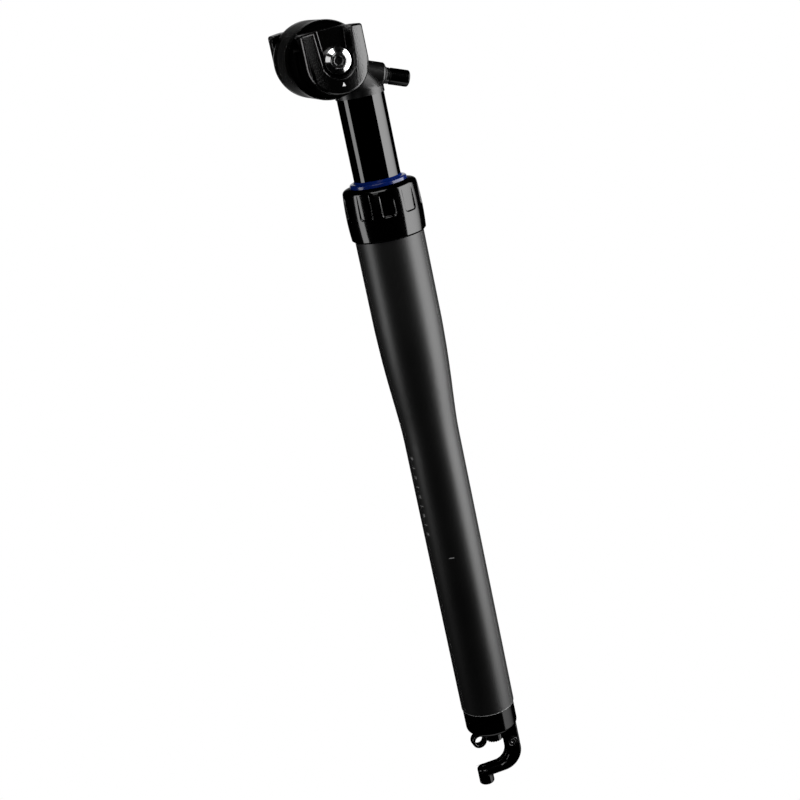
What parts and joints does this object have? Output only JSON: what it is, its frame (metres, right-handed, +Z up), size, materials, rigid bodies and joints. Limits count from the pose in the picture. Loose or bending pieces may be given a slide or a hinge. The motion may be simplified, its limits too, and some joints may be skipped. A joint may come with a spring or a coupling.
{
  "type": "dropper seatpost",
  "caption": "Dropper seatpost: outer tube that swells under a notched collar, sliding shaft, side-clamping saddle head with air valve, and a cable lever on a J-shaped arm below.",
  "frame": {"origin": "on the post's axis at the lower end of the outer tube, where it goes into the frame", "axes": "+Z up along the post to the saddle clamp, +X forward, to the valve and cable arm's side, +Y to the rider's left"},
  "size_m": [0.0574, 0.0708, 0.3939],
  "materials": {
    "satin_black_tube": "satin black anodised, finely blasted",
    "gloss_black_metal": "gloss black anodised",
    "forged_black": "black anodised forging, half gloss",
    "dark_lever_metal": "black anodised, machined",
    "blue_wiper": "blue polyurethane",
    "bright_washer": "polished",
    "bolt_steel": "zinc plated",
    "valve_metal": "dark anodised",
    "seal_rubber": "matt",
    "bushing_polymer": "acetal",
    "inner_aluminium": "turned",
    "key_brass": "machined",
    "inner_steel": "ground"
  },
  "bodies": {
    "outer_post": {"outer_tube": "satin_black_tube", "collar": "gloss_black_metal", "wiper_seal": "blue_wiper", "collar_seal": "seal_rubber", "upper_bushing": "bushing_polymer", "lower_bushing": "bushing_polymer", "key_sleeve": "inner_aluminium", "bottom_out_bumper": "seal_rubber", "stalk_tube": "inner_aluminium", "collet": "inner_steel", "return_spring": "inner_steel", "air_piston": "inner_aluminium", "piston_seal": "seal_rubber", "bottom_cap": "gloss_black_metal", "cap_seal": "seal_rubber", "arm_pin": "bolt_steel", "cable_arm": "dark_lever_metal", "lever_screw": "bolt_steel"},
    "inner_post": {"shaft": "gloss_black_metal", "shaft_foot": "inner_aluminium", "top_out_bumper": "seal_rubber", "guide_keys": "key_brass", "head": "forged_black", "head_seal": "seal_rubber", "valve_body": "valve_metal", "valve_seal": "seal_rubber"},
    "saddle_cradle": {"cradle_left": "forged_black", "cradle_right": "forged_black"},
    "right_clamp": {"outer_clamp_right": "forged_black", "cone_washer_right": "bright_washer", "clamp_bolt": "bolt_steel"},
    "left_clamp": {"outer_clamp_left": "forged_black", "cone_washer_left": "bright_washer", "clamp_nut": "bolt_steel"},
    "lever": {"cable_lever": "dark_lever_metal"},
    "release": {"release_rod": "inner_steel", "rod_end": "dark_lever_metal", "spring_clip": "inner_steel", "expander": "inner_steel", "cross_pin": "bolt_steel"},
    "valve_pin": {"valve_pin": "key_brass"},
    "valve_cap": {"valve_cap": "gloss_black_metal"}
  },
  "joints": [
    {"name": "post_slide", "type": "slide", "parent": "outer_post", "child": "inner_post", "axis": [0, 0, 1], "range_m": [-0.035, 0], "stiffness_N_per_m": 1700, "springref_m": 0.07},
    {"name": "saddle_tilt", "type": "hinge", "parent": "inner_post", "child": "saddle_cradle", "pos_m": [-0.01525, 0, 0.3333], "axis": [0, 1, 0], "range_deg": [-15, 15]},
    {"name": "right_clamp_open", "type": "slide", "parent": "saddle_cradle", "child": "right_clamp", "axis": [0, -1, 0], "range_m": [0, 0.0036]},
    {"name": "left_clamp_open", "type": "slide", "parent": "saddle_cradle", "child": "left_clamp", "axis": [0, 1, 0], "range_m": [0, 0.0036]},
    {"name": "cable_lever", "type": "hinge", "parent": "outer_post", "child": "lever", "pos_m": [0.0084, 0, -0.0235], "axis": [0, -1, 0], "range_deg": [0, 15]},
    {"name": "release_slide", "type": "slide", "parent": "outer_post", "child": "release", "axis": [0, 0, -1], "range_m": [0, 0.0033], "stiffness_N_per_m": 1500, "springref_m": -0.006, "deforming": ["return_spring"]},
    {"name": "valve_cap_pull", "type": "slide", "parent": "inner_post", "child": "valve_cap", "axis": [0.9397, 0, -0.342], "range_m": [0, 0.012]},
    {"name": "valve_pin_press", "type": "slide", "parent": "inner_post", "child": "valve_pin", "axis": [-0.9397, 0, 0.342], "range_m": [0, 0.001], "stiffness_N_per_m": 2000, "springref_m": -0.001}
  ],
  "couplings": [
    {"joint": "cable_lever", "follows": "release_slide", "rad_per_m": 79}
  ]
}
